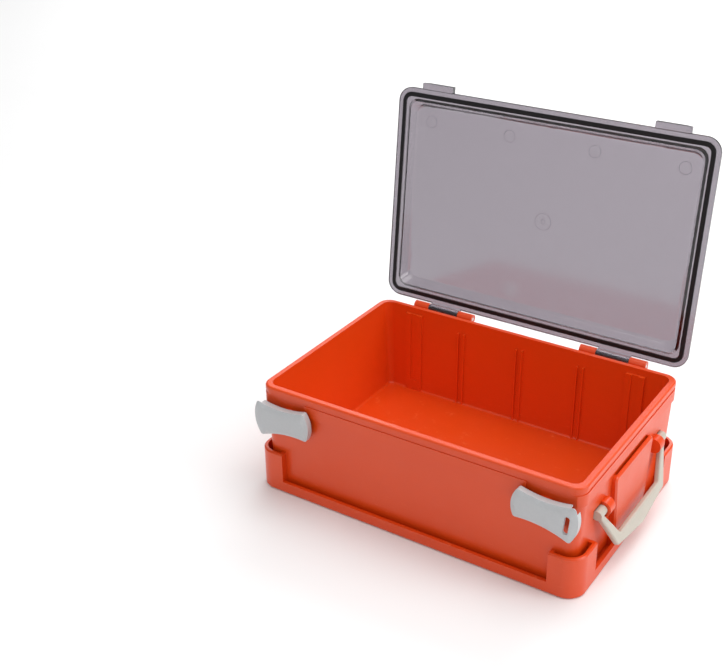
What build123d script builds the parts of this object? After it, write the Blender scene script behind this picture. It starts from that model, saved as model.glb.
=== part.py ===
"""First aid kit: a moulded tub, a clear hinged lid with its gasket, two swivel latches and a
folding carry handle. Millimetres, +Z up, +X towards the handle end, -Y towards the latches.
The origin is on the ground, at the middle of the base. The lid stands open, the latches are
turned open and the handle hangs folded against its end."""
from build123d import *
import math
import os

os.makedirs("parts", exist_ok=True)

# ---- tub: overall -----------------------------------------------------------------------
rim_len = 330.0          # over the rim, along X
rim_wid = 222.0          # over the rim, along Y
rim_top = 112.0          # height of the rim's sealing land
rim_r = 13.0             # outer corner radius of the rim
rim_drop = 20.0          # height of the rim band
rim_round = 2.2          # rounding of the rim's top outer edge
bead_h = 5.0             # bead at the top of the rim band
neck_h = 3.4             # shallow neck under the bead
neck_in = 0.7
wall_in = 1.6            # the walls stand this far inside the rim band
taper_end = 3.0          # outer end wall leans in this much, down to the base
taper_side = 1.5         # outer side walls likewise
land_end = 6.0           # width of the sealing land at the ends
land_side = 6.0          # and along the sides
cave_taper_end = 5.0     # inner end walls lean in by this much, down to the floor
cave_taper_side = 1.2
cave_r = 9.0             # inner corner radius at the rim
cave_foot_r = 5.5        # and at the floor
cave_foot = 2.6          # rounding where the inner walls meet the floor
floor_top = 13.5
floor_t = 3.0

# ---- tub: skirt, corner guards, end panel --------------------------------------------------
skirt_out = 4.5          # the skirt stands proud of the rim by this much
skirt_h = 12.0
guard_h = 42.6           # top of the corner guards
guard_x = rim_len / 2 + skirt_out - 29.5   # where a guard begins on a long side
guard_y = rim_wid / 2 + skirt_out - 36.5   # where a guard begins on an end
guard_t = 3.6            # thickness of the guard's and the skirt's outer skin
guard_open = 20.0        # depth of the open gap behind a guard's top
gutter_z = 5.5           # floor of the gutter between skirt and wall
base_round = 2.5
under_edge = 14.0        # width of the ring that the kit stands on
pad_r = 14.0             # middle pad under the floor
rib_t = 2.4

# ---- tub: handle end -------------------------------------------------------------------------
panel_x = rim_len / 2 + 3.0      # outer face of the raised end panel
panel_top = rim_top - 26.0
panel_skin = 3.0
panel_slot = 24.0        # depth of the open slot behind the panel's top edge
pivot_x = rim_len / 2            # handle pivot
pivot_z = rim_top - 46.0
ear_r = 7.5              # pivot ear radius
ear_w = 10.4             # width of an ear along Y
bore_clear = 0.06        # radial clearance of every pin and shaft in its hole

# ---- handle --------------------------------------------------------------------------------------
leg_w = 6.2
leg_in = guard_y - 3.2 - leg_w   # inner face of a leg at its root
bar_t = 5.6              # thickness of the handle
grip_in = 33.5           # pivot to the inner edge of the grip
grip_end = 42.0          # pivot to the outer edge of the grip at its ends
grip_mid = 49.5          # and at its middle
grip_half_in = leg_in - 24.5
grip_half_out = leg_in + leg_w - 22.3
panel_half_top = leg_in - 26.6   # half widths of the end panel
panel_half_foot = grip_half_in - 14.0
stud_r = 2.8
stud_len = 7.0
root_r = 4.6
side_gap = 0.4           # side clearance between a leg and its ear
rest_deg = 16.5          # the handle hangs this far out from straight down
rest_gap = 0.35          # gap left between the grip and the panel when it is pushed right in

# ---- lid -----------------------------------------------------------------------------------------------
lid_len = rim_len + 2 * 2.0      # the lid overhangs the rim
lid_wid = rim_wid + 2 * 0.5
lid_r = 15.0
lid_gap = 0.35           # lid underside over the sealing land when shut
flange_t = 4.0
dome_h = 9.6             # how far the window stands over the flange
dome_edge = 10.5         # flange width round the window
dome_slope = 5.0         # the window's sides lean in by this much
dome_r = 11.0
dome_t = 2.6
dome_round = 6.0         # rounding of the window's outer edge
seal_edge = 4.6          # lid edge to the seal groove
seal_w = 4.4
seal_deep = 2.2
open_deg = 96.4          # lid opens this far from shut
latch_x = rim_len / 2 - 33.0     # latch pivot
latch_z = rim_top - 28.5
tab_x = latch_x - 10.5           # middle of a lid tab
tab_w = 34.0
tab_out = 6.5
tab_top_drop = 1.7       # tab's top under the flange's top
tab_h = 5.2
tab_ramp = 6.0

# ---- hinges ------------------------------------------------------------------------------------------------
hinge_x = rim_len / 2 - 70.0     # middle of each hinge
hinge_back = 5.5         # hinge axis behind the rim
hinge_low = 1.5          # and below the sealing land
knuckle_r = 4.7
lid_knuckle_w = 34.0
tub_knuckle_w = 17.0
knuckle_gap = 0.5
pin_r = 1.75
brace_w = 3.2            # brace rib under the outer end of each hinge
brace_drop = 66.0        # and how far it runs down the wall

# ---- latches -----------------------------------------------------------------------------------------------
hook_gap = 0.45          # hook over the lid tab when shut
hook_t = 2.6
lip_in = rim_top + lid_gap + flange_t - tab_top_drop + hook_gap - latch_z   # pivot to the hook
latch_reach = lip_in + hook_t    # pivot to the hook end
latch_tail = 27.4        # pivot to the other end
latch_half = 18.4        # half width at the hook end
tail_half = 14.6
waist_half = 12.6
latch_face = 11.0        # latch face in front of the rim
latch_deep = 8.4
latch_skin = 3.0
latch_slope = 5.5        # width of the sloped border round the latch face
latch_fall = 2.4         # and how far it falls back
latch_wall = 2.4
throat_in = lip_in - 7.0         # the leading wall stops here to let the tab in
droop = 5.0              # open latches hang this far below level
latch_turn = 95.0
window_u = lip_in - 6.9
window_w = 4.8
window_h = 18.0
shaft_r = 6.0
hub_r = 9.0
boss_r = 11.0
boss_h = 2.6
cap_r = 9.0
cap_t = 4.0
cap_dish_r = 5.2
cap_dish = 1.6
run_gap = 0.35           # running gap between faces that turn on each other
ring_t = 1.9             # seal ring section
pocket_in = latch_x - 18.0       # rim recess over each latch, along X
pocket_out = latch_x + 28.0
pocket_low = latch_z + 4.5
pocket_deep = 1.6

# ---- inner walls ----------------------------------------------------------------------------------------------
slot_x = [-67.0, 0.0, 67.0]   # divider slots on the long walls
slot_w = 5.0
slot_rib = 1.6
slot_proud = 1.7
slot_top = rim_top - 15.0
pad_x = rim_len / 2 - 41.0       # grooved pads on the hinge wall
pad_w = 19.0
pad_top = rim_top - 7.0
pad_groove = 7.0
pad_proud = 1.8


def slab(lx, ly, r, z0, z1):
    """Upright block with rounded corners, between two heights."""
    return extrude(Pos(0, 0, z0) * RectangleRounded(lx, ly, r), z1 - z0)


def taper(lx0, ly0, r0, z0, lx1, ly1, r1, z1):
    """Block with rounded corners that widens from the first outline to the second."""
    return loft([Pos(0, 0, z0) * RectangleRounded(lx0, ly0, r0),
                 Pos(0, 0, z1) * RectangleRounded(lx1, ly1, r1)])


def block(x0, x1, y0, y1, z0, z1):
    return Pos((x0 + x1) / 2, (y0 + y1) / 2, (z0 + z1) / 2) * Box(
        abs(x1 - x0), abs(y1 - y0), abs(z1 - z0))


def prism(plane, pts, depth):
    """Straight block drawn as a polygon on a plane and raised along the plane's normal."""
    return extrude(plane * Polygon(*pts, align=None), depth, dir=plane.z_dir)


def rod(r, a, b):
    """Round bar of radius r between two points."""
    a, b = Vector(*a), Vector(*b)
    return extrude(Plane(origin=a, z_dir=b - a) * Circle(r), (b - a).length)


def save(shape, name):
    solids = shape.solids() if not isinstance(shape, list) else [s for q in shape for s in q.solids()]
    out = solids[0] if len(solids) == 1 else Compound(solids)
    out.label = name
    export_step(out, f"parts/{name}.step")


# ---- shared places -------------------------------------------------------------------------------------------
skirt_len, skirt_wid = rim_len + 2 * skirt_out, rim_wid + 2 * skirt_out
skirt_r = rim_r + skirt_out
wall_len, wall_wid = rim_len - 2 * wall_in, rim_wid - 2 * wall_in
wall_r = rim_r - wall_in
foot_len, foot_wid = wall_len - 2 * taper_end, wall_wid - 2 * taper_side
cave_len, cave_wid = rim_len - 2 * land_end, rim_wid - 2 * land_side
band_z = rim_top - rim_drop
hinge_y = rim_wid / 2 + hinge_back
hinge_z = rim_top - hinge_low
face_y = -rim_wid / 2 - latch_face
wall_y = -wall_wid / 2
leg_slope = (leg_in - grip_half_in) / grip_in
ear_y = leg_in - leg_slope * (ear_r + 0.4) - side_gap     # outer face of an ear
push_in = rest_deg - math.degrees(math.asin((panel_x + rest_gap - pivot_x) / math.hypot(grip_in, bar_t / 2))
                                  + math.atan2(bar_t / 2, grip_in))   # free swing inwards


def cave_y(z):
    """Inner face of a long wall at a height."""
    return cave_wid / 2 - cave_taper_side * (rim_top - z) / (rim_top - floor_top)


inner_y = -cave_y(latch_z)
stem_end = inner_y + cap_t + run_gap + 0.2
hub_back = wall_y - boss_h - run_gap - (face_y + latch_deep)   # hub reaches back to the boss


# ============ tub ===============================================================================================
def make_tub():
    skirt = slab(skirt_len, skirt_wid, skirt_r, 0, skirt_h)
    skirt = fillet(skirt.faces().sort_by(Axis.Z)[0].edges(), base_round)
    walls = taper(foot_len, foot_wid, wall_r, gutter_z, wall_len, wall_wid, wall_r, band_z)
    band = slab(rim_len, rim_wid, rim_r, band_z, rim_top)
    band = fillet(band.faces().sort_by(Axis.Z)[-1].edges(), rim_round)
    neck_z = rim_top - bead_h
    band -= slab(rim_len + 2, rim_wid + 2, rim_r + 1, neck_z - neck_h, neck_z) - slab(
        rim_len - 2 * neck_in, rim_wid - 2 * neck_in, rim_r - neck_in, neck_z - neck_h, neck_z)
    # the gutter between the walls and the skirt's skin
    gutter = slab(skirt_len - 2 * guard_t, skirt_wid - 2 * guard_t, skirt_r - guard_t,
                  gutter_z, guard_h + 1)
    body = skirt - gutter
    # corner guards: skins that stand off the wall, closed at their sides, open at the top
    guards = slab(skirt_len, skirt_wid, skirt_r, gutter_z, guard_h)
    guards = chamfer(guards.faces().sort_by(Axis.Z)[-1].edges(), 1.4)
    gap = slab(skirt_len - 2 * guard_t, skirt_wid - 2 * guard_t, skirt_r - guard_t,
               guard_h - guard_open, guard_h + 1)
    gx, gy = skirt_len, skirt_wid
    for sx in (-1, 1):
        for sy in (-1, 1):
            corner = guards & block(sx * guard_x, sx * gx, sy * guard_y, sy * gy, 0, guard_h + 2)
            hole = gap & block(sx * (guard_x + guard_t), sx * gx, sy * (guard_y + guard_t),
                               sy * gy, 0, guard_h + 2)
            body += corner - hole
    # end panel in front of the handle end's wall
    face = Plane(origin=(panel_x, 0, 0), x_dir=(0, 1, 0), z_dir=(1, 0, 0))
    outline = Polygon((-panel_half_foot, 0), (panel_half_foot, 0), (panel_half_top, panel_top),
                      (-panel_half_top, panel_top), align=None)
    outline = fillet(outline.vertices().group_by(Axis.Y)[-1], 5)
    panel = extrude(face * outline, panel_x - foot_len / 2 + 4, dir=(-1, 0, 0))
    panel = chamfer(panel.faces().sort_by(Axis.X)[-1].edges(), 1.6)
    panel -= block(panel_x - panel_skin - 4.2, panel_x - panel_skin, -panel_half_top + 6,
                   panel_half_top - 6, panel_top - panel_slot, panel_top + 5)
    body += panel
    body += walls + band
    # handle ears
    for s in (-1, 1):
        body += rod(ear_r, (pivot_x, s * (ear_y - ear_w), pivot_z), (pivot_x, s * ear_y, pivot_z))
    # latch bosses
    for s in (-1, 1):
        body += rod(boss_r, (s * latch_x, wall_y + 2, latch_z), (s * latch_x, wall_y - boss_h, latch_z))
    # hinge knuckles of the tub, each on a gusset that runs down the rim band
    for s in (-1, 1):
        for k in (-1, 1):
            x0 = s * hinge_x + k * (lid_knuckle_w / 2 + knuckle_gap)
            x1 = x0 + k * tub_knuckle_w
            body += rod(knuckle_r, (x0, hinge_y, hinge_z), (x1, hinge_y, hinge_z))
            side = Plane(origin=(min(x0, x1), 0, 0), x_dir=(0, 1, 0), z_dir=(1, 0, 0))
            body += prism(side, [(rim_wid / 2 - 2, hinge_z), (hinge_y + knuckle_r - 0.1, hinge_z),
                                 (rim_wid / 2 - 2, band_z + 2)], tub_knuckle_w)
        x1 = s * (hinge_x + lid_knuckle_w / 2 + knuckle_gap + tub_knuckle_w)
        side = Plane(origin=(min(x1, x1 - s * brace_w), 0, 0), x_dir=(0, 1, 0), z_dir=(1, 0, 0))
        body += prism(side, [(wall_wid / 2 - 3, hinge_z), (hinge_y + knuckle_r - 0.1, hinge_z),
                             (hinge_y + knuckle_r - 1.5, hinge_z - 8),
                             (wall_wid / 2 - 0.4, hinge_z - brace_drop),
                             (wall_wid / 2 - 3, hinge_z - brace_drop)], brace_w)
    # the inside
    cave = taper(cave_len - 2 * cave_taper_end, cave_wid - 2 * cave_taper_side, cave_foot_r, floor_top,
                 cave_len, cave_wid, cave_r, rim_top)
    cave = fillet(cave.faces().sort_by(Axis.Z)[0].edges(), cave_foot)
    body -= cave
    # divider slots on both long walls, and pads on the hinge wall
    for s in (-1, 1):
        for x in slot_x:
            for k in (-1, 1):
                xr = x + k * (slot_w + slot_rib) / 2
                body += block(xr - slot_rib / 2, xr + slot_rib / 2,
                              s * (cave_y(floor_top) - slot_proud), s * (cave_y(rim_top) + 0.5),
                              floor_top - 0.5, slot_top)
    for s in (-1, 1):
        body += block(s * pad_x - pad_w / 2, s * pad_x + pad_w / 2,
                      cave_y(floor_top) - pad_proud, cave_y(rim_top) + 0.5,
                      floor_top - 0.5, pad_top)
        body -= block(s * pad_x - pad_groove / 2, s * pad_x + pad_groove / 2,
                      cave_y(floor_top) - pad_proud - 1, cave_y(floor_top) - 0.6,
                      floor_top + 12, pad_top + 1)
    # recess in the rim band over each latch
    for s in (-1, 1):
        body -= block(s * pocket_in, s * pocket_out, wall_y + pocket_deep - wall_in, wall_y - 20,
                      pocket_low, rim_top - bead_h - neck_h) - rod(
            boss_r, (s * latch_x, wall_y + 9, latch_z), (s * latch_x, wall_y - boss_h, latch_z))
    # holes: latch shafts, handle studs, room for the handle's roots, hinge pins
    for s in (-1, 1):
        body -= rod(shaft_r + bore_clear, (s * latch_x, wall_y - 9, latch_z),
                    (s * latch_x, wall_y + 30, latch_z))
        body -= rod(stud_r + bore_clear, (pivot_x, s * ear_y, pivot_z),
                    (pivot_x, s * (ear_y - stud_len - 0.8), pivot_z))
        body -= rod(root_r + 1.2, (pivot_x, s * ear_y, pivot_z),
                    (pivot_x, s * (leg_in + leg_w + 1.2), pivot_z))
        body -= rod(pin_r, (s * hinge_x - 60, hinge_y, hinge_z), (s * hinge_x + 60, hinge_y, hinge_z))
    # underside: hollow between the standing ring and the middle pad
    under = slab(skirt_len - 2 * under_edge, skirt_wid - 2 * under_edge, skirt_r - under_edge + 5,
                 -1, floor_top - floor_t)
    under -= rod(pad_r, (0, 0, -2), (0, 0, floor_top))
    body -= under
    return body


tub = make_tub()
save(tub, "tub")


# ============ lid, made shut and then turned open ================================================================
def turned(shape):
    return shape.rotate(Axis((0, hinge_y, hinge_z), (1, 0, 0)), -open_deg)


lid_z = rim_top + lid_gap
top_z = lid_z + flange_t
win_len, win_wid = lid_len - 2 * dome_edge, lid_wid - 2 * dome_edge


def make_lid():
    lid = slab(lid_len, lid_wid, lid_r, lid_z, top_z)
    lid = fillet(lid.faces().sort_by(Axis.Z)[-1].edges(), 1.4)
    dome = taper(win_len, win_wid, dome_r, top_z - 1, win_len - 2 * dome_slope,
                 win_wid - 2 * dome_slope, dome_r, top_z + dome_h)
    dome = fillet(dome.faces().sort_by(Axis.Z)[-1].edges(), dome_round)
    lid += dome
    inner = taper(win_len - 2 * dome_t, win_wid - 2 * dome_t, dome_r - 1, lid_z,
                  win_len - 2 * dome_slope - 2 * dome_t, win_wid - 2 * dome_slope - 2 * dome_t,
                  dome_r - 1, top_z + dome_h - dome_t)
    inner = fillet(inner.faces().sort_by(Axis.Z)[-1].edges(), dome_round - 1.8)
    lid -= inner
    sl, sw = lid_len - 2 * seal_edge, lid_wid - 2 * seal_edge
    lid -= slab(sl, sw, lid_r - seal_edge, lid_z - 1, lid_z + seal_deep) - slab(
        sl - 2 * seal_w, sw - 2 * seal_w, lid_r - seal_edge - seal_w, lid_z - 1, lid_z + seal_deep)
    # tabs for the latches, each with a ramp at its outer end
    t1 = top_z - tab_top_drop
    t0 = t1 - tab_h
    front = Plane(origin=(tab_x, -lid_wid / 2 + 0.5, 0), x_dir=(1, 0, 0), z_dir=(0, -1, 0))
    tab = prism(front, [(-tab_w / 2, t0), (tab_w / 2, t0), (tab_w / 2, t1 - 2.4),
                        (tab_w / 2 - tab_ramp, t1), (-tab_w / 2, t1)], tab_out + 0.5)
    tab -= block(0, lid_len, -lid_wid / 2, 0, t0 - 1, lid_z)
    lid += tab + mirror(tab, Plane.YZ)
    # knuckles
    for s in (-1, 1):
        x0 = s * hinge_x - lid_knuckle_w / 2
        side = Plane(origin=(x0, 0, 0), x_dir=(0, 1, 0), z_dir=(1, 0, 0))
        lid += prism(side, [(lid_wid / 2 - 3, lid_z), (hinge_y - knuckle_r * 0.9, lid_z),
                            (hinge_y - knuckle_r * 0.9, hinge_z), (hinge_y + knuckle_r, hinge_z),
                            (hinge_y + knuckle_r * 0.8, hinge_z + knuckle_r * 0.62),
                            (lid_wid / 2 - 1, top_z), (lid_wid / 2 - 3, top_z)], lid_knuckle_w)
        lid += rod(knuckle_r, (x0, hinge_y, hinge_z), (x0 + lid_knuckle_w, hinge_y, hinge_z))
        lid -= rod(pin_r + bore_clear, (x0 - 1, hinge_y, hinge_z), (x0 + lid_knuckle_w + 1, hinge_y, hinge_z))
    return lid


lid = make_lid()
save(turned(lid), "lid")

sl, sw = lid_len - 2 * seal_edge, lid_wid - 2 * seal_edge
gasket = slab(sl, sw, lid_r - seal_edge, lid_z, lid_z + seal_deep) - slab(
    sl - 2 * seal_w, sw - 2 * seal_w, lid_r - seal_edge - seal_w, lid_z - 1, lid_z + seal_deep + 1)
save(turned(gasket), "lid_gasket")

pins = []
span = lid_knuckle_w + 2 * knuckle_gap + 2 * tub_knuckle_w
for s in (-1, 1):
    pins.append(rod(pin_r, (s * hinge_x - span / 2, hinge_y, hinge_z),
                    (s * hinge_x + span / 2, hinge_y, hinge_z)))
save(pins, "hinge_pins")


# ============ handle, made hanging straight down and then swung out ===============================================
def make_handle():
    out = pivot_z - grip_mid
    pts = [(leg_in + leg_w, pivot_z), (grip_half_out, pivot_z - grip_end), (0, out)]
    inner = [(leg_in, pivot_z), (grip_half_in, pivot_z - grip_in)]
    ring = pts + [(-y, z) for y, z in reversed(pts[:-1])]
    ring += [(-y, z) for y, z in inner] + list(reversed(inner))
    flat = Plane(origin=(pivot_x - bar_t / 2, 0, 0), x_dir=(0, 1, 0), z_dir=(1, 0, 0))
    shape = Polygon(*ring, align=None)
    shape = fillet([v for v in shape.vertices() if v.Y < pivot_z - 1], 4.0)
    bar = extrude(flat * shape, bar_t, dir=(1, 0, 0))
    bar = fillet(bar.edges().filter_by(lambda e: abs(e.center().X - pivot_x) > bar_t / 2 - 0.1), 1.8)
    for s in (-1, 1):
        bar += rod(root_r, (pivot_x, s * (ear_y + side_gap), pivot_z),
                   (pivot_x, s * (leg_in + leg_w), pivot_z))
        bar += rod(stud_r, (pivot_x, s * (leg_in + 1), pivot_z), (pivot_x, s * (ear_y - stud_len), pivot_z))
    return bar


handle = make_handle().rotate(Axis((pivot_x, 0, pivot_z), (0, 1, 0)), -rest_deg)
save(handle, "carry_handle")


# ============ latches, made with the hook end along +X and then turned =============================================
def latch_outline(grow):
    """Outline about the pivot, drawn in the latch's own plane; grow below zero draws it smaller."""
    r1, r0 = latch_reach + grow, latch_tail + grow
    h1, h0, hw = latch_half + grow, tail_half + grow, waist_half + grow
    u1, u0 = math.sqrt(r1 ** 2 - h1 ** 2), -math.sqrt(r0 ** 2 - h0 ** 2)
    with BuildSketch() as sk:
        with BuildLine():
            ThreePointArc((u1, -h1), (r1, 0), (u1, h1))
            ThreePointArc((u1, h1), (-1, hw), (u0, h0))
            ThreePointArc((u0, h0), (-r0, 0), (u0, -h0))
            ThreePointArc((u0, -h0), (-1, -hw), (u1, -h1))
        make_face()
        fillet(sk.vertices(), 2.6)
    return sk.sketch


def make_latch(window):
    """The lever of a latch: a hollow cap whose end wall is the hook. One side has a window in it."""
    plan = extrude(Plane.XY * latch_outline(0), latch_deep - latch_fall)
    plan += loft([Pos(0, 0, latch_deep - latch_fall) * latch_outline(0),
                  Pos(0, 0, latch_deep) * latch_outline(-latch_slope)])
    hollow = extrude(Plane.XY * latch_outline(-latch_wall), latch_deep - latch_skin)
    hollow &= Pos(-50 + lip_in, 0, 0) * Box(100, 100, 100)
    plan -= hollow
    throat = Pos((throat_in + lip_in) / 2, 20, 0) * Box(lip_in - throat_in, 40, 2 * (latch_deep - latch_skin))
    plan -= throat
    plan += extrude(Pos(0, 0, -hub_back) * Circle(hub_r), latch_deep - 1 + hub_back)
    if window:
        plan -= extrude(Pos(window_u, 0, -1) * SlotOverall(window_h, window_w, rotation=90), latch_deep + 2)
    return plan




def place_latch(shape, s):
    """From the latch's own plane (u along the hook, v towards the lid, w out of the face)."""
    shape = shape if s > 0 else mirror(shape, Plane.YZ)
    shape = shape.rotate(Axis.X, 90)
    shape = Pos(s * latch_x, face_y + latch_deep, latch_z) * shape
    return shape.rotate(Axis((s * latch_x, 0, latch_z), (0, 1, 0)), s * droop)


for s, side in ((-1, "left"), (1, "right")):
    lever = place_latch(make_latch(window=side == "right"), s)
    lever += rod(shaft_r, (s * latch_x, face_y + 2, latch_z), (s * latch_x, stem_end - 0.2, latch_z))
    groove_y = wall_y + 1.6
    lever -= rod(shaft_r + 1, (s * latch_x, groove_y - ring_t / 2, latch_z),
                 (s * latch_x, groove_y + ring_t / 2, latch_z)) - rod(
        shaft_r - ring_t + 0.3, (s * latch_x, groove_y - 3, latch_z), (s * latch_x, groove_y + 3, latch_z))
    save(lever, f"latch_{side}")
    cap = rod(cap_r, (s * latch_x, inner_y + run_gap, latch_z), (s * latch_x, inner_y + run_gap + cap_t, latch_z))
    cap = fillet(cap.faces().sort_by(Axis.Y)[-1].edges(), 1.0)
    cap -= rod(shaft_r, (s * latch_x, inner_y - 1, latch_z), (s * latch_x, stem_end - 0.2, latch_z))
    save(cap, f"latch_cap_{side}")
    ring = rod(shaft_r, (s * latch_x, groove_y - ring_t / 2, latch_z),
               (s * latch_x, groove_y + ring_t / 2, latch_z)) - rod(
        shaft_r - ring_t + 0.3, (s * latch_x, groove_y - 3, latch_z), (s * latch_x, groove_y + 3, latch_z))
    save(ring, f"latch_seal_{side}")

print("hinge", hinge_y, hinge_z, "handle pivot", pivot_x, pivot_z, "push in", round(push_in, 2),
      "latch", latch_x, latch_z, "face", face_y, "inner", round(inner_y, 2))
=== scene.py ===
"""First aid kit: a moulded tub with a clear hinged lid, its gasket, two swivel latches and a
folding carry handle. Metres, +Z up, +X towards the handle's end, -Y towards the latches."""
import math

import bpy
import bmesh
from mathutils import Matrix, Vector


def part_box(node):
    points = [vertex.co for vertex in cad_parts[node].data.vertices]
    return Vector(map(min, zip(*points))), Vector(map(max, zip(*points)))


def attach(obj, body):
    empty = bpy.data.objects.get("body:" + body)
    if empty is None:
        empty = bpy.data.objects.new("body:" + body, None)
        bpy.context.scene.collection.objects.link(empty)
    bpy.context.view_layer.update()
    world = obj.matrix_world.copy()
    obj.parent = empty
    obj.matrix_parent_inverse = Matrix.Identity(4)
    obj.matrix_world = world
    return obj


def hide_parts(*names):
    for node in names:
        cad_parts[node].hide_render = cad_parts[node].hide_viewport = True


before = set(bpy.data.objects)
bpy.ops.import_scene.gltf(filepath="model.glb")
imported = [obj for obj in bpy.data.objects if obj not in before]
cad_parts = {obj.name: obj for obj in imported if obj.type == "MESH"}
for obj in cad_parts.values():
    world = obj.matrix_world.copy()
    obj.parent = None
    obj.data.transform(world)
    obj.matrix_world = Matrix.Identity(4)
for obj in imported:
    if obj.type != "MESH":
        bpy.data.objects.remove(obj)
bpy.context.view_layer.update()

bpy.ops.object.select_all(action="DESELECT")
MM = 0.001

# ---- Tub -------------------------------------------------------------------------------------
# One injection moulding in orange-red ABS: rim, walls, skirt, corner guards, ears and knuckles.
# The mould rounds its edges and leaves a fine satin spark-eroded grain on its faces. Use has rubbed
# the skirt.


def srgb(code):
    """An sRGB hex colour as linear red, green, blue and alpha."""
    parts = [int(code[i:i + 2], 16) / 255 for i in (0, 2, 4)]
    return (*[c / 12.92 if c <= 0.04045 else ((c + 0.055) / 1.055) ** 2.4 for c in parts], 1.0)


def add(material, kind, inputs=(), **settings):
    """Adds a node. An input is a value, or (node, output) to link from."""
    tree = material.node_tree
    node = tree.nodes.new(kind)
    for name, value in settings.items():
        setattr(node, name, value)
    for name, value in dict(inputs).items():
        if isinstance(value, tuple) and isinstance(value[0], bpy.types.Node):
            tree.links.new(value[0].outputs[value[1]], node.inputs[name])
        else:
            node.inputs[name].default_value = value
    return node


def new_material(name):
    """An empty node material, its output, and its Object coordinates."""
    material = bpy.data.materials.new(name)
    material.use_nodes = True
    material.node_tree.nodes.clear()
    out = add(material, "ShaderNodeOutputMaterial")
    place = add(material, "ShaderNodeTexCoord")
    return material, out, (place, "Object")


def close(material, out, shader):
    """Joins the finished shader to the material's output."""
    material.node_tree.links.new(shader.outputs[0], out.inputs["Surface"])


weld = 0.004 * MM              # points closer than this are one
flat_turn = math.radians(0.4)  # faces that turn less than this are one
sharp = math.radians(38)       # edges that turn more than this are rounded


def moulding(node, name, radius):
    """The CAD node's shape as one clean mesh with its sharp edges rounded, in place of the node."""
    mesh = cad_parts[node].data.copy()
    piece = bpy.data.objects.new(name, mesh)
    bpy.context.collection.objects.link(piece)
    bpy.context.view_layer.objects.active = piece
    piece.select_set(True)
    mesh.materials.clear()
    bpy.ops.object.mode_set(mode="EDIT")
    bpy.ops.mesh.select_all(action="SELECT")
    bpy.ops.mesh.remove_doubles(threshold=weld)
    bpy.ops.mesh.dissolve_limited(angle_limit=flat_turn)
    bpy.ops.object.mode_set(mode="OBJECT")
    if radius:
        bevel = piece.modifiers.new("edges", "BEVEL")
        bevel.width = radius
        bevel.segments = 3
        bevel.limit_method = "ANGLE"
        bevel.angle_limit = sharp
        bevel.use_clamp_overlap = True
        bevel.miter_outer = "MITER_ARC"
        bpy.ops.object.modifier_apply(modifier=bevel.name)
    bpy.ops.object.shade_smooth_by_angle(angle=sharp)
    normals = piece.modifiers.new("normals", "WEIGHTED_NORMAL")
    normals.keep_sharp = True
    bpy.ops.object.modifier_apply(modifier=normals.name)
    piece.select_set(False)
    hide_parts(node)
    return piece


abs_orange, out, where = new_material("satin moulded ABS, orange-red")
flow = add(abs_orange, "ShaderNodeTexNoise", {"Vector": where, "Scale": 9.0, "Detail": 3.0})
tone = add(abs_orange, "ShaderNodeMix",
           {"Factor": (flow, "Fac"), "A": srgb("e54b0d"), "B": srgb("dc440a")}, data_type="RGBA")
smear = add(abs_orange, "ShaderNodeTexNoise", {"Vector": where, "Scale": 34.0, "Detail": 5.0})
gloss = add(abs_orange, "ShaderNodeMapRange",
            {"Value": (smear, "Fac"), "From Min": 0.3, "From Max": 0.7, "To Min": 0.30, "To Max": 0.38})
# Scuffs: short rubbed streaks, duller and paler. They are strongest low on the skirt and the guards.
height = add(abs_orange, "ShaderNodeSeparateXYZ", {"Vector": where})
skirt_only = add(abs_orange, "ShaderNodeMapRange",
                 {"Value": (height, "Z"), "From Min": 0.010, "From Max": 0.045, "To Min": 1.0,
                  "To Max": 0.12})
streaky = add(abs_orange, "ShaderNodeMapping", {"Vector": where, "Scale": (90.0, 90.0, 700.0)})
rubbed = add(abs_orange, "ShaderNodeTexNoise",
             {"Vector": (streaky, "Vector"), "Scale": 1.0, "Detail": 6.0, "Roughness": 0.7})
marks = add(abs_orange, "ShaderNodeMapRange",
            {"Value": (rubbed, "Fac"), "From Min": 0.60, "From Max": 0.74})
scuff = add(abs_orange, "ShaderNodeMath", {0: (marks, "Result"), 1: (skirt_only, "Result")},
            operation="MULTIPLY")
worn = add(abs_orange, "ShaderNodeMix",
           {"Factor": (scuff, "Value"), "A": (tone, "Result"), "B": srgb("ee6a3a")}, data_type="RGBA")
dull = add(abs_orange, "ShaderNodeMath", {0: (scuff, "Value"), 1: 0.14, 2: (gloss, "Result")},
           operation="MULTIPLY_ADD")
# Spark-eroded grain.
grain = add(abs_orange, "ShaderNodeTexNoise", {"Vector": where, "Scale": 1200.0, "Detail": 2.0})
bump = add(abs_orange, "ShaderNodeBump",
           {"Height": (grain, "Fac"), "Strength": 0.10, "Distance": 0.2 * MM})
shell = add(abs_orange, "ShaderNodeBsdfPrincipled",
            {"Base Color": (worn, "Result"), "Roughness": (dull, "Value"),
             "Normal": (bump, "Normal"), "IOR": 1.53})
close(abs_orange, out, shell)

tub = moulding("tub", "tub_shell", radius=0.55 * MM)
tub.data.materials.append(abs_orange)
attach(tub, "tub")

# ---- Hinge pins ------------------------------------------------------------------------------
# Two straight lengths of drawn stainless wire, pressed into the tub's knuckles. The lid's knuckles
# turn on them. The sharp edges at their ends are broken.
wire, out, where = new_material("drawn stainless wire")
drawn = add(wire, "ShaderNodeMapping", {"Vector": where, "Scale": (30.0, 2500.0, 2500.0)})
lines = add(wire, "ShaderNodeTexNoise", {"Vector": (drawn, "Vector"), "Scale": 1.0, "Detail": 3.0})
shine = add(wire, "ShaderNodeMapRange", {"Value": (lines, "Fac"), "To Min": 0.16, "To Max": 0.34})
steel = add(wire, "ShaderNodeBsdfPrincipled",
            {"Base Color": srgb("c9c8c4"), "Metallic": 1.0, "Roughness": (shine, "Result")})
close(wire, out, steel)
pins = moulding("hinge_pins", "hinge_wires", radius=0.3 * MM)
pins.data.materials.append(wire)
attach(pins, "tub")

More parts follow.
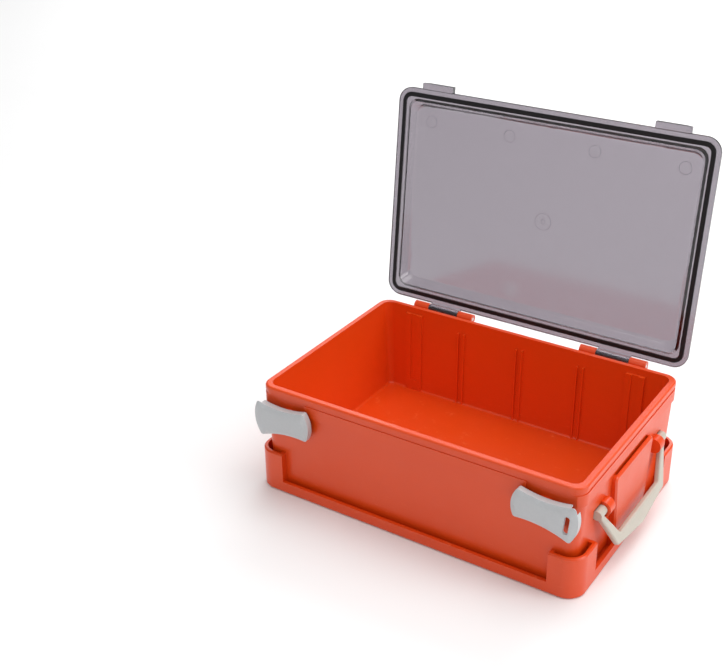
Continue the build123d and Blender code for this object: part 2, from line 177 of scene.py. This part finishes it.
# ---- Lid -------------------------------------------------------------------------------------
# One injection moulding in smoke-grey clear polycarbonate: flange, raised window, two latch tabs and
# two hinge knuckles. The mould is polished, so the faces are glossy.
smoke, out, where = new_material("polished smoke-grey polycarbonate")
haze = add(smoke, "ShaderNodeTexNoise", {"Vector": where, "Scale": 14.0, "Detail": 4.0})
rough = add(smoke, "ShaderNodeMapRange", {"Value": (haze, "Fac"), "To Min": 0.09, "To Max": 0.15})
clear = add(smoke, "ShaderNodeBsdfPrincipled",
            {"Base Color": srgb("8f8890"), "Roughness": (rough, "Result"), "IOR": 1.585,
             "Transmission Weight": 1.0})
# Lamps shine through it onto what lies inside.
through = add(smoke, "ShaderNodeBsdfTransparent", {"Color": srgb("ece8eb")})
rays = add(smoke, "ShaderNodeLightPath")
pane = add(smoke, "ShaderNodeMixShader",
           {0: (rays, "Is Shadow Ray"), 1: (clear, "BSDF"), 2: (through, "BSDF")})
close(smoke, out, pane)
lid = moulding("lid", "lid_window", radius=0.4 * MM)
lid.data.materials.append(smoke)
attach(lid, "lid")

# Faint raised rings that the mould leaves on the lid's inside: a row from its ejector pins, and two
# from its gate in the middle. They lie on the window's flat inner face, the largest towards the tub.
pin_mark_r = 6.0 * MM
gate_mark_r = (8.5 * MM, 2.2 * MM)
mark_thick = 0.13 * MM
row_along = (-0.80, -0.27, 0.27, 0.80)  # places in the row, as shares of half the lid's length
row_above = 0.66                        # the row's height, as a share of half the open lid's
inner = max((f for f in lid.data.polygons if f.normal.y < -0.9), key=lambda f: f.area)
face_out = inner.normal.copy()
face_mid = inner.center.copy()
face_up = Vector((1, 0, 0)).cross(face_out)
if face_up.z < 0:
    face_up.negate()
turn_to_face = face_out.to_track_quat("Z", "Y").to_euler()
lid_low, lid_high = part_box("lid")
half_long = (lid_high.x - lid_low.x) / 2
half_high = (lid_high.z - lid_low.z) / 2
spots = [(share * half_long, row_above * half_high, pin_mark_r) for share in row_along]
spots += [(0, 0, ring_r) for ring_r in gate_mark_r]
for k, (along, above, ring_r) in enumerate(spots):
    middle = face_mid + Vector((1, 0, 0)) * (along - face_mid.x) + face_up * above
    bpy.ops.mesh.primitive_torus_add(major_radius=ring_r, minor_radius=mark_thick, major_segments=64,
                                     minor_segments=8, location=middle, rotation=turn_to_face)
    mark = bpy.context.object
    mark.name = f"witness_ring_{k + 1}"
    bpy.ops.object.transform_apply(location=True, rotation=True, scale=True)
    bpy.ops.object.shade_smooth()
    mark.data.materials.append(smoke)
    mark.select_set(False)
    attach(mark, "lid")

# ---- Gasket ----------------------------------------------------------------------------------
# A ring moulded in black rubber, pressed into the groove of the lid's flange. It seals on the tub's
# rim when the lid is shut, and has a matt face.
rubber, out, where = new_material("moulded black rubber")
bloom = add(rubber, "ShaderNodeTexNoise", {"Vector": where, "Scale": 60.0, "Detail": 4.0})
black = add(rubber, "ShaderNodeMix",
            {"Factor": (bloom, "Fac"), "A": srgb("08080a"), "B": srgb("111013")}, data_type="RGBA")
soft = add(rubber, "ShaderNodeBsdfPrincipled",
           {"Base Color": (black, "Result"), "Roughness": 0.6, "IOR": 1.52, "Specular IOR Level": 0.3})
close(rubber, out, soft)
gasket = moulding("lid_gasket", "gasket_ring", radius=0.6 * MM)
gasket.data.materials.append(rubber)
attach(gasket, "lid")

# ---- Carry handle ----------------------------------------------------------------------------
# A bar moulded in ivory nylon, thick at its roots and broad in the middle of the grip. A stud at each
# end snaps into an ear of the tub. Its edges are already rounded in its shape.
ivory, out, where = new_material("moulded ivory nylon")
cloud = add(ivory, "ShaderNodeTexNoise", {"Vector": where, "Scale": 40.0, "Detail": 4.0})
cream = add(ivory, "ShaderNodeMix",
            {"Factor": (cloud, "Fac"), "A": srgb("c2bdb1"), "B": srgb("bab4a6")}, data_type="RGBA")
fine = add(ivory, "ShaderNodeTexNoise", {"Vector": where, "Scale": 1500.0, "Detail": 2.0})
matt = add(ivory, "ShaderNodeBump", {"Height": (fine, "Fac"), "Strength": 0.12, "Distance": 0.2 * MM})
nylon = add(ivory, "ShaderNodeBsdfPrincipled",
            {"Base Color": (cream, "Result"), "Roughness": 0.42, "IOR": 1.53,
             "Normal": (matt, "Normal")})
close(ivory, out, nylon)
handle = moulding("carry_handle", "handle_bar", radius=0)
handle.data.materials.append(ivory)
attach(handle, "carry_handle")

# ---- Latches ---------------------------------------------------------------------------------
# Levers moulded in light grey glass-filled nylon, each in one with a shaft that goes through the
# tub's wall. The hook end catches a tab of the lid.
grey_nylon, out, where = new_material("moulded grey glass-filled nylon")
speck = add(grey_nylon, "ShaderNodeTexNoise", {"Vector": where, "Scale": 420.0, "Detail": 4.0})
ash = add(grey_nylon, "ShaderNodeMix",
          {"Factor": (speck, "Fac"), "A": srgb("c2c4c6"), "B": srgb("b9bbbd")}, data_type="RGBA")
lever_face = add(grey_nylon, "ShaderNodeBsdfPrincipled",
                 {"Base Color": (ash, "Result"), "Roughness": 0.38, "IOR": 1.53})
close(grey_nylon, out, lever_face)
for side in ("left", "right"):
    lever = moulding(f"latch_{side}", f"latch_lever_{side}", radius=0.5 * MM)
    lever.data.materials.append(grey_nylon)
    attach(lever, f"latch_{side}")

# ---- Shaft caps and seals --------------------------------------------------------------------
# Round caps moulded in white nylon, which hold the latches' shafts from the inside. Each has a sunk
# ring round a raised middle. A rubber ring in each shaft's groove keeps water out.

white, out, where = new_material("moulded white nylon")
milk = add(white, "ShaderNodeTexNoise", {"Vector": where, "Scale": 90.0, "Detail": 3.0})
chalk = add(white, "ShaderNodeMix",
            {"Factor": (milk, "Fac"), "A": srgb("e9e7e1"), "B": srgb("dfddd5")}, data_type="RGBA")
cap_face = add(white, "ShaderNodeBsdfPrincipled",
               {"Base Color": (chalk, "Result"), "Roughness": 0.4, "IOR": 1.53})
close(white, out, cap_face)
cap_cover = 0.7 * MM    # skin over the end of the shaft
cap_rim = 1.5 * MM      # width of the flat rim
step_run = 0.5 * MM     # width of a slope between two levels
sunk_ring = 3.4 * MM    # width of the sunk ring
sunk_by = 0.55 * MM
raised_by = 0.40 * MM
cap_round = 0.35 * MM
for side in ("left", "right"):
    cap_low, cap_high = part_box(f"latch_cap_{side}")
    middle = (cap_low + cap_high) / 2
    thick = cap_high.y - cap_low.y + cap_cover
    bpy.ops.mesh.primitive_cylinder_add(vertices=72, radius=(cap_high.x - cap_low.x) / 2, depth=thick,
                                        location=(middle.x, cap_low.y + thick / 2, middle.z),
                                        rotation=(-math.pi / 2, 0, 0))
    cap = bpy.context.object
    cap.name = f"shaft_cap_{side}"
    bpy.ops.object.transform_apply(location=True, rotation=True, scale=True)
    bpy.ops.object.mode_set(mode="EDIT")
    shape = bmesh.from_edit_mesh(cap.data)
    for face in shape.faces:
        face.select = face.normal.y > 0.9
    bmesh.update_edit_mesh(cap.data)
    bpy.ops.mesh.inset(thickness=cap_rim)
    bpy.ops.mesh.inset(thickness=step_run)
    bpy.ops.transform.translate(value=(0, -sunk_by, 0))
    bpy.ops.mesh.inset(thickness=sunk_ring)
    bpy.ops.mesh.inset(thickness=step_run)
    bpy.ops.transform.translate(value=(0, raised_by, 0))
    bpy.ops.object.mode_set(mode="OBJECT")
    edges = cap.modifiers.new("edges", "BEVEL")
    edges.width = cap_round
    edges.segments = 3
    edges.limit_method = "ANGLE"
    edges.angle_limit = math.radians(25)
    bpy.ops.object.modifier_apply(modifier=edges.name)
    bpy.ops.object.shade_smooth_by_angle(angle=math.radians(35))
    cap.select_set(False)
    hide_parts(f"latch_cap_{side}")
    cap.data.materials.append(white)
    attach(cap, f"latch_{side}")
    ring = moulding(f"latch_seal_{side}", f"shaft_ring_{side}", radius=0.5 * MM)
    ring.data.materials.append(rubber)
    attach(ring, f"latch_{side}")

# ---- Floor, light and camera -----------------------------------------------------------------
# A plain white paper sweep, lit by a large softbox overhead, small ones in front and on the right, and
# two that keep the paper white behind and in front of the case.
bpy.ops.mesh.primitive_plane_add(size=12.0, location=(0, 0, 0))
floor = bpy.context.object
floor.name = "floor"
paper, out, where = new_material("white paper sweep")
pulp = add(paper, "ShaderNodeTexNoise", {"Vector": where, "Scale": 3.0})
paper_tone = add(paper, "ShaderNodeMix",
                 {"Factor": (pulp, "Fac"), "A": srgb("f4f4f4"), "B": srgb("f1f1f1")}, data_type="RGBA")
paper_face = add(paper, "ShaderNodeBsdfPrincipled",
                 {"Base Color": (paper_tone, "Result"), "Roughness": 0.9})
close(paper, out, paper_face)
floor.data.materials.append(paper)

world = bpy.data.worlds.new("studio")
bpy.context.scene.world = world
world.use_nodes = True
sky = world.node_tree.nodes["Background"]
sky.inputs["Color"].default_value = (1, 1, 1, 1)
sky.inputs["Strength"].default_value = 0.29


def softbox(name, place, aim, size, power):
    """A square area light at a place, turned to a point."""
    data = bpy.data.lights.new(name, "AREA")
    data.shape = "SQUARE"
    data.size = size
    data.energy = power
    lamp = bpy.data.objects.new(name, data)
    bpy.context.collection.objects.link(lamp)
    lamp.location = place
    lamp.rotation_mode = "QUATERNION"
    lamp.rotation_quaternion = (Vector(aim) - Vector(place)).to_track_quat("-Z", "Y")


softbox("overhead", place=(0.45, 0.35, 2.4), aim=(0, 0, 0), size=2.6, power=52)
softbox("front", place=(0.1, -2.3, 1.3), aim=(0, 0, 0.08), size=1.6, power=4)
softbox("right", place=(1.7, 0.3, 0.9), aim=(0.1, 0, 0.08), size=0.9, power=11)
softbox("backdrop", place=(-0.8, 3.2, 2.2), aim=(-0.8, 3.4, 0), size=3.0, power=104)
softbox("sweep", place=(0.6, -3.6, 2.2), aim=(0.6, -3.9, 0), size=3.0, power=35)

camera_data = bpy.data.cameras.new("camera")
camera = bpy.data.objects.new("camera", camera_data)
bpy.context.collection.objects.link(camera)
camera_place = Vector((0.460576, -0.875171, 0.676515))
azimuth, elevation, roll = math.radians(33.664), math.radians(27.651), math.radians(-0.839)
frame_width = 724            # width of the picture
focal_length = 1198.75       # in the same unit as the picture's width
back = Vector((math.sin(azimuth) * math.cos(elevation), -math.cos(azimuth) * math.cos(elevation),
               math.sin(elevation)))
level = Vector((math.cos(azimuth), math.sin(azimuth), 0))
up = back.cross(level)
side_axis = level * math.cos(roll) + up * math.sin(roll)
up_axis = up * math.cos(roll) - level * math.sin(roll)
camera.matrix_world = (Matrix.Translation(camera_place)
                       @ Matrix((side_axis, up_axis, back)).transposed().to_4x4())
camera_data.sensor_width = 36.0
camera_data.lens = focal_length / frame_width * camera_data.sensor_width
bpy.context.scene.camera = camera
bpy.context.scene.view_settings.view_transform = "Standard"
